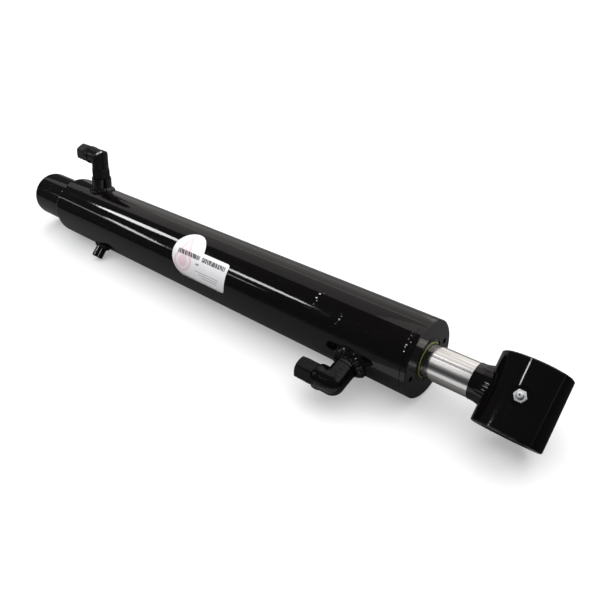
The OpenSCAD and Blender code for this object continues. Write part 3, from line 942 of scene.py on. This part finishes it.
def cap_nut(name, node, x, angle, axis_height, shoulder, material):
    """A hexagonal cap nut: a chamfered hexagon with a shallow dish in its closed end."""
    place = arm_place(x, angle, axis_height, ELBOW_REACH)
    length = ELBOW_REACH - shoulder - CAP_SEAT_GAP
    centre_r, dish_r, bore_r, bore_end = 0.4 * MM, 7.2 * MM, 9.7 * MM, length - 13 * MM
    corner_r = CAP_NUT_AF / math.sqrt(3)
    bevel = (corner_r - CAP_NUT_AF / 2) * 1.35
    profile = [(centre_r, 0.3 * MM), (dish_r, 0.3 * MM), (dish_r + 0.6 * MM, 0),
               (corner_r - bevel, 0), (corner_r, bevel * 0.6), (corner_r, length - bevel * 0.6),
               (corner_r - bevel, length), (bore_r, length), (bore_r, bore_end),
               (centre_r, bore_end)]
    vertices, faces = turned(place, profile, CAP_NUT_AF, 144, 0.4 * MM)
    return add_piece(name, vertices, faces, material, "barrel", [node], 35)


def locknut(material):
    """The hexagon of the base port's fitting, chamfered at both ends."""
    place = port_place(BASE_PORT_X, BASE_PORT_ANGLE) @ Matrix.Translation((0, 0, LOCKNUT_LOW))
    place = place @ Matrix.Rotation(math.radians(30), 4, "Z")
    profile = nut_profile(LOCKNUT_AF, LOCKNUT_HIGH - LOCKNUT_LOW, 8 * MM)
    vertices, faces = turned(place, profile, LOCKNUT_AF, 144, 0.4 * MM)
    return add_piece("base_port_hexagon", vertices, faces, material, "barrel",
                     ["base_port_locknut"], 35)


def grease_nipple(material):
    """The grease fitting: hexagon, neck, ball head and its open channel."""
    hexagon, hex_height = 11.1 * MM, 5 * MM
    corner_r = hexagon / math.sqrt(3)
    section = [(0.8, -6), (3.9, -6), (3.9, 0), (corner_r / MM - 0.7, 0), (corner_r / MM, 0.4),
               (corner_r / MM, 4.5), (corner_r / MM - 0.9, 5.0), (4.3, 5.0), (3.9, 5.6), (3.3, 6.2),
               (2.35, 7.6), (2.3, 9.0), (2.6, 9.9), (3.1, 10.4), (3.25, 11.0), (3.15, 11.7),
               (2.6, 12.5), (1.9, 13.1), (1.3, 13.4), (0.8, 13.3), (0.8, 12.6)]
    profile = [(r * MM, z * MM) for r, z in section]
    vertices, faces = turned(zerk_place(), profile, hexagon, 96, 0.3 * MM)
    return add_piece("grease_nipple", vertices, faces, material, "rod",
                     ["grease_fitting"], 38)


def wiper(material):
    """The rod wiper: a ring in the gland's face whose thin lip stands round the rod."""
    depth, seat_r = 5.5, 24.5
    rod_r = ROD_R / MM
    section = [(rod_r + 1.25, 0), (seat_r - 0.05, 0), (seat_r - 0.05, depth - 0.5),
               (seat_r - 0.4, depth - 0.15), (rod_r + 2.2, depth - 0.15), (rod_r + 1.7, depth + 0.15),
               (rod_r + 1.35, depth + 0.75), (rod_r + 1.0, depth + 0.95), (rod_r + 0.35, depth + 0.95),
               (rod_r + 0.08, depth + 0.6), (rod_r + 0.08, depth - 1.5), (rod_r + 0.5, depth - 3)]
    profile = [(r * MM, z * MM) for r, z in section]
    place = along_axis(FRONT_X - depth * MM)
    vertices, faces = turned(place, profile, segments=192)
    return add_piece("wiper_lip", vertices, faces, material, "barrel",
                     ["wiper_seal"], 50)


def label_sheet(material):
    """The label: a thin sheet wrapped on the barrel, a round head with a tail along +X."""
    r, corner = LABEL_HEAD_R, 3.5 * MM
    joint = math.sqrt(r ** 2 - LABEL_TAIL_TOP ** 2)
    head_steps, tail_steps, corner_steps, rows = 44, 12, 8, 26
    start = math.radians(179)
    stop = math.atan2(LABEL_TAIL_TOP, joint)
    columns = [(r * math.cos(start + (stop - start) * i / head_steps), 0.0)
               for i in range(head_steps + 1)]
    columns += [(joint + (LABEL_TAIL - corner - joint) * i / tail_steps, 0.0)
                for i in range(1, tail_steps + 1)]
    for i in range(1, corner_steps + 1):
        turn = math.pi / 2 * i / corner_steps
        columns.append((LABEL_TAIL - corner + corner * math.sin(turn) * 0.999,
                        corner * (1 - math.cos(turn))))
    vertices, faces = [], []
    for across, inset in columns:
        head = math.sqrt(max(r ** 2 - across ** 2, 0)) if across < r else 0
        top = (head if across <= joint else LABEL_TAIL_TOP) - inset
        bottom = -(head if across < 0 else r) + inset
        for j in range(rows + 1):
            up = bottom + (top - bottom) * j / rows
            angle = LABEL_ANGLE - math.degrees(math.asin(up / BARREL_R))
            skin = outward(angle) * (BARREL_R + LABEL_THICKNESS)
            vertices.append(Vector((LABEL_X + across, 0, 0)) + skin)
    for i in range(len(columns) - 1):
        a, b = i * (rows + 1), (i + 1) * (rows + 1)
        faces += [(a + j, b + j, b + j + 1, a + j + 1) for j in range(rows)]
    piece = add_piece("label_sheet", vertices, faces, material, "barrel",
                      ["label"], 60)
    thick = piece.modifiers.new("thick", "SOLIDIFY")
    thick.thickness = LABEL_THICKNESS - 0.03 * MM
    thick.offset = -1
    return piece


# ---------------------------------------------------------------- CAD nodes

def dress(node, material, bevel=0.0, angle=35):
    """Gives a CAD node its material, smooth shading and, where asked, softened edges."""
    item = nodes[node]
    item.data.materials.clear()
    item.data.materials.append(material)
    smooth_by_angle(item, angle)
    if bevel:
        soft = item.modifiers.new("soft_edges", "BEVEL")
        soft.width = bevel
        soft.segments = 3
        soft.limit_method = "ANGLE"
        soft.angle_limit = math.radians(angle)
        soft.harden_normals = True


def shine_only_on(light_name, pieces):
    """Keeps a lamp's light, and its reflection, to some pieces."""
    lit = bpy.data.collections.new(light_name + "_pieces")
    for piece in pieces:
        lit.objects.link(piece)
    bpy.data.objects[light_name].light_linking.receiver_collection = lit


def main():
    bpy.context.scene.view_settings.view_transform = "Standard"
    eye = make_camera()
    make_world()
    make_studio(eye)
    make_floor()
    make_cards()

    black = gloss_black()
    weld_black = gloss_black("weld_black", (0.04, 0.1), 0.02 * MM)
    # painted highlights at the elbows' mitres, drawn in bright steel colour
    base_painted_highlight = mitre_painted_highlight(BASE_PORT_X, BASE_PORT_ANGLE, BASE_ELBOW_AXIS, 9.5 * MM, 2.5 * MM,
                             0.7 * MM)
    rod_painted_highlight = mitre_painted_highlight(ROD_PORT_X, ROD_PORT_ANGLE, ROD_ELBOW_AXIS, -9 * MM, 1 * MM, 4 * MM)
    satin = fitting_black("satin_fitting", (0.3, 0.42))
    # a lighter copy of the fittings' enamel for the base port's cap nut: painted sheen where its upper
    # faces catch the light
    nut_enamel_painted_sheen = fitting_black("nut_enamel_painted_sheen", (0.3, 0.45), (0.008, 0.02))
    gloss = fitting_black("gloss_fitting", (0.12, 0.22), (0.0015, 0.0026))
    base_forging = fitting_black("base_forging", (0.24, 0.38), streak=base_painted_highlight)
    rod_forging = fitting_black("rod_forging", (0.12, 0.22), (0.0015, 0.0026), rod_painted_highlight)
    chrome = hard_chrome()
    steel = machined_steel("plain_steel", (0.36, 0.35, 0.34), (0.5, 0.49, 0.47))
    iron = machined_steel("ductile_iron", (0.22, 0.22, 0.22), (0.36, 0.36, 0.35), 0.9 * MM)
    zinc = zinc_plate()
    rubber = moulded("seal_rubber", (0.012, 0.012, 0.012), (0.028, 0.028, 0.027))
    urethane = moulded("seal_urethane", (0.3, 0.04, 0.025), (0.42, 0.07, 0.04), (0.25, 0.4))
    resin = moulded("bearing_resin", (0.08, 0.17, 0.13), (0.14, 0.26, 0.2), (0.4, 0.6))

    for node in ("barrel_tube", "base_cap", "base_stub", "gland", "line_stud", "base_port_boss",
                 "rod_port_boss"):
        dress(node, black)
    dress("rod_eye_tube", black, 0.5 * MM)
    for node in ("base_port_o_ring", "gland_o_ring", "piston_o_ring"):
        dress(node, rubber)
    for node in ("gland_backup_ring", "rod_wear_band", "piston_wear_bands"):
        dress(node, resin)
    for node in ("rod_seal", "piston_seal"):
        dress(node, urethane)
    dress("rod", chrome)
    dress("piston", iron)
    dress("piston_nut", steel)
    dress("rod_eye_bushing", steel)

    weld = base_weld(weld_black)
    post_weld("base_port_weld_bead", "base_port_weld", BASE_PORT_X, BASE_PORT_ANGLE,
              BASE_BOSS_R, 5.2 * MM, 17, weld_black, 3)
    post_weld("rod_port_weld_bead", "rod_port_weld", ROD_PORT_X, ROD_PORT_ANGLE,
              ROD_BOSS_R, 7.6 * MM, 17, weld_black, 5, 2.2)
    post_weld("line_stud_weld_bead", "line_stud_weld", STUD_X, STUD_ANGLE,
              STUD_R, 4.4 * MM, 11, weld_black, 7)
    rod_weld(weld_black)
    spatter("weld_spatter", painted_spots(), 0.6 * MM, 1.2 * MM, black, 3)
    # spatter beads coloured bright steel: painted glints
    spatter("painted_glint_spatter", painted_glint_spots(), 0.5 * MM, 1.15 * MM, painted_glint_spatter(), 9)

    forging("base_port_forging", "base_port_elbow", base_forging)
    forging("rod_port_forging", "rod_port_elbow", rod_forging)
    locknut(satin)
    cap_nut("base_port_cap_nut", "base_port_cap", BASE_PORT_X, BASE_PORT_ANGLE,
            BASE_ELBOW_AXIS, BASE_ELBOW_SHOULDER, nut_enamel_painted_sheen)
    cap_nut("rod_port_cap_nut", "rod_port_cap", ROD_PORT_X, ROD_PORT_ANGLE,
            ROD_ELBOW_AXIS, ROD_ELBOW_SHOULDER, gloss)
    grease_nipple(zinc)
    wiper(wiper_lip())
    label = label_sheet(label_vinyl())
    shine_only_on("lamp_a", [nodes["barrel_tube"], nodes["base_stub"], nodes["gland"], weld, label])
    shine_only_on("lamp_eye", [nodes["rod_eye_tube"]])
    shine_only_on("lamp_stud", [nodes["line_stud"]])
    for angle, _, _ in ROD_LAMPS:
        shine_only_on("rod_lamp_%g" % angle, [nodes["rod"]])


main()
